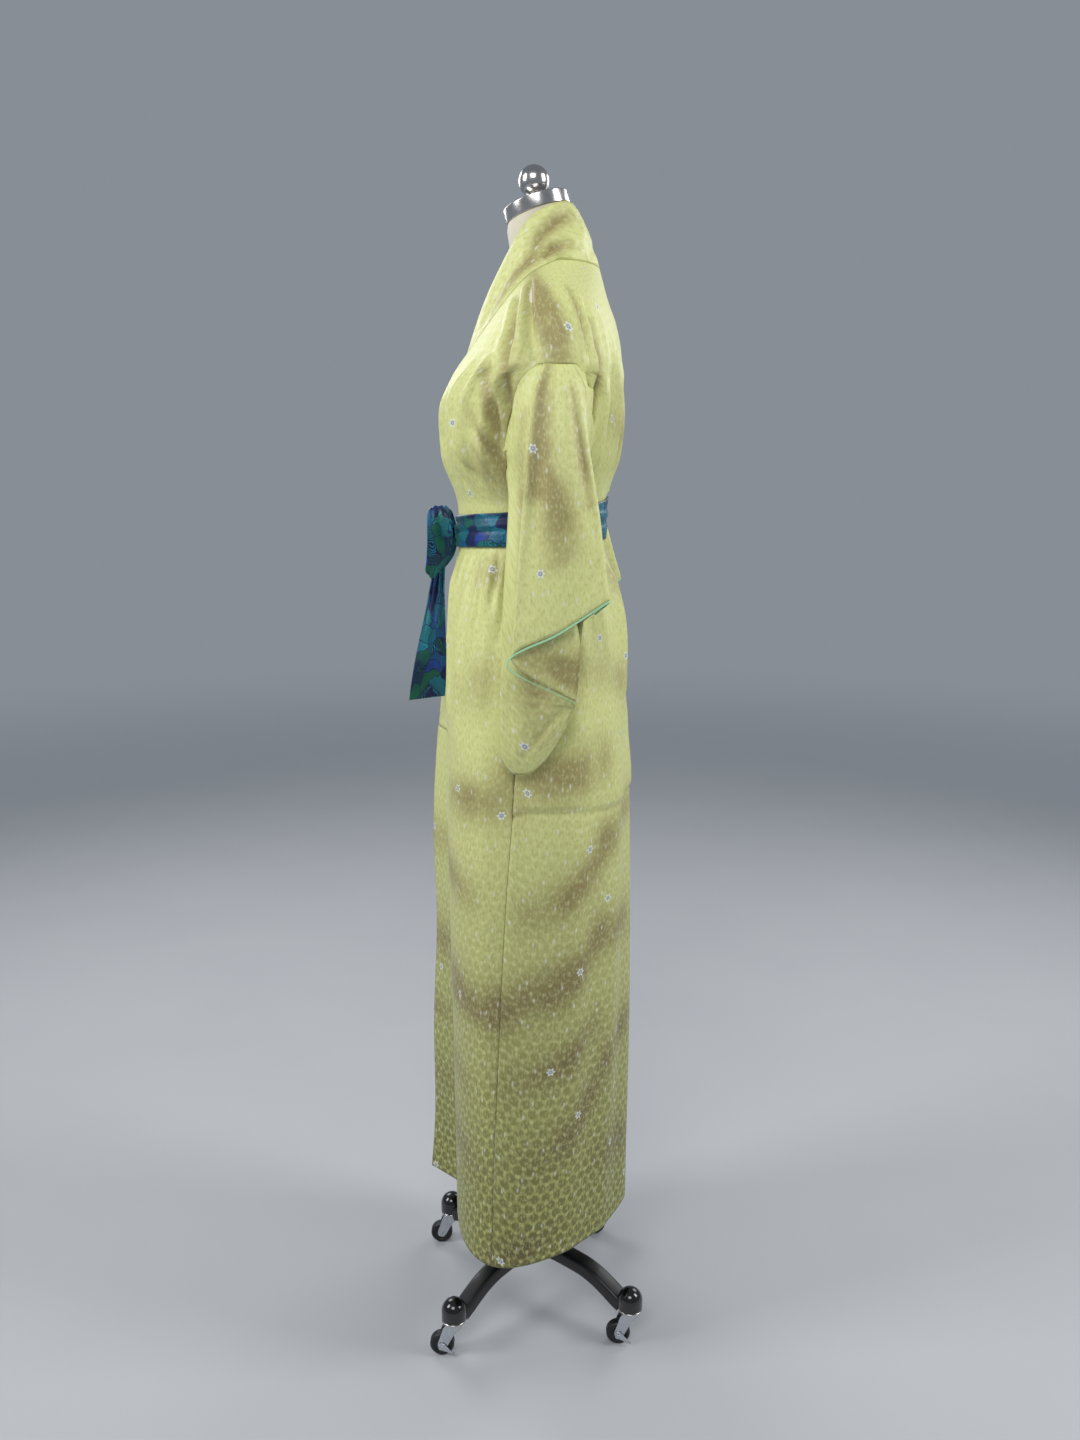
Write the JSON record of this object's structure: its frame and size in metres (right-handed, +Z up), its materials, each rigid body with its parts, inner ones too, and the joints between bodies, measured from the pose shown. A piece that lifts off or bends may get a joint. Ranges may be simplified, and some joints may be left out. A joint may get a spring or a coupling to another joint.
{
  "type": "kimono robe on wheeled dress form",
  "caption": "Long silk kimono robe, tied left over right with a soft sash, worn by a limbless dress form on a four-legged base with swivelling casters.",
  "frame": {"origin": "on the floor, under the middle of the whole part's bounding box", "axes": "+Z up; the robe's front faces -Y; the wearer's left is +X"},
  "size_m": [0.5286, 0.365, 1.7989],
  "materials": {
    "chartreuse_silk": "figured silk with a soft sheen",
    "mint_silk": "satin",
    "sash_silk": "printed silk, soft sheen",
    "cream_jersey": "matt knitted cover",
    "chromed_steel": "polished",
    "black_paint": "semi-gloss",
    "black_plastic": "moulded, glossy",
    "zinc_plate": "bright zinc plate"
  },
  "bodies": {
    "robe_and_stand": {"body_left": "chartreuse_silk", "body_right": "chartreuse_silk", "cap_back_left": "black_plastic", "cap_back_right": "black_plastic", "cap_front_left": "black_plastic", "cap_front_right": "black_plastic", "collar": "chartreuse_silk", "cuff_edge_left": "mint_silk", "cuff_edge_right": "mint_silk", "form_body": "cream_jersey", "hub": "black_paint", "leg_back_left": "black_paint", "leg_back_right": "black_paint", "leg_front_left": "black_paint", "leg_front_right": "black_paint", "neck_cap": "chromed_steel", "okumi_left": "chartreuse_silk", "okumi_right": "chartreuse_silk", "pole": "black_paint", "sash_band": "sash_silk", "sash_knot": "sash_silk", "sash_loop_left": "sash_silk", "sash_loop_right": "sash_silk", "sash_tail_left": "sash_silk", "sash_tail_right": "sash_silk", "sleeve_left": "chartreuse_silk", "sleeve_right": "chartreuse_silk"},
    "caster_back_left": {"fork_back_left": "zinc_plate"},
    "rolling_wheel_back_left": {"wheel_back_left": "black_plastic"},
    "brake_back_left": {"brake_lever_back_left": "zinc_plate"},
    "caster_back_right": {"fork_back_right": "zinc_plate"},
    "rolling_wheel_back_right": {"wheel_back_right": "black_plastic"},
    "caster_front_right": {"fork_front_right": "zinc_plate"},
    "rolling_wheel_front_right": {"wheel_front_right": "black_plastic"},
    "caster_front_left": {"fork_front_left": "zinc_plate"},
    "rolling_wheel_front_left": {"wheel_front_left": "black_plastic"},
    "brake_front_left": {"brake_lever_front_left": "zinc_plate"}
  },
  "joints": [
    {"name": "swivel_back_left", "type": "hinge", "parent": "robe_and_stand", "child": "caster_back_left", "pos_m": [0.12772, 0.16298, 0.0576], "axis": [0, 0, 1], "continuous": true},
    {"name": "roll_back_left", "type": "hinge", "parent": "caster_back_left", "child": "rolling_wheel_back_left", "pos_m": [0.12772, 0.14398, 0.019], "axis": [1, 0, 0], "continuous": true},
    {"name": "brake_back_left", "type": "hinge", "parent": "caster_back_left", "child": "brake_back_left", "pos_m": [0.12772, 0.14398, 0.019], "axis": [1, 0, 0], "range_deg": [0, 35]},
    {"name": "swivel_back_right", "type": "hinge", "parent": "robe_and_stand", "child": "caster_back_right", "pos_m": [-0.15221, 0.13849, 0.0576], "axis": [0, 0, 1], "continuous": true},
    {"name": "roll_back_right", "type": "hinge", "parent": "caster_back_right", "child": "rolling_wheel_back_right", "pos_m": [-0.15221, 0.11949, 0.019], "axis": [1, 0, 0], "continuous": true},
    {"name": "swivel_front_right", "type": "hinge", "parent": "robe_and_stand", "child": "caster_front_right", "pos_m": [-0.12772, -0.14144, 0.0576], "axis": [0, 0, 1], "continuous": true},
    {"name": "roll_front_right", "type": "hinge", "parent": "caster_front_right", "child": "rolling_wheel_front_right", "pos_m": [-0.12772, -0.16044, 0.019], "axis": [1, 0, 0], "continuous": true},
    {"name": "swivel_front_left", "type": "hinge", "parent": "robe_and_stand", "child": "caster_front_left", "pos_m": [0.15221, -0.11695, 0.0576], "axis": [0, 0, 1], "continuous": true},
    {"name": "roll_front_left", "type": "hinge", "parent": "caster_front_left", "child": "rolling_wheel_front_left", "pos_m": [0.15221, -0.13595, 0.019], "axis": [1, 0, 0], "continuous": true},
    {"name": "brake_front_left", "type": "hinge", "parent": "caster_front_left", "child": "brake_front_left", "pos_m": [0.15221, -0.13595, 0.019], "axis": [1, 0, 0], "range_deg": [0, 35]}
  ]
}
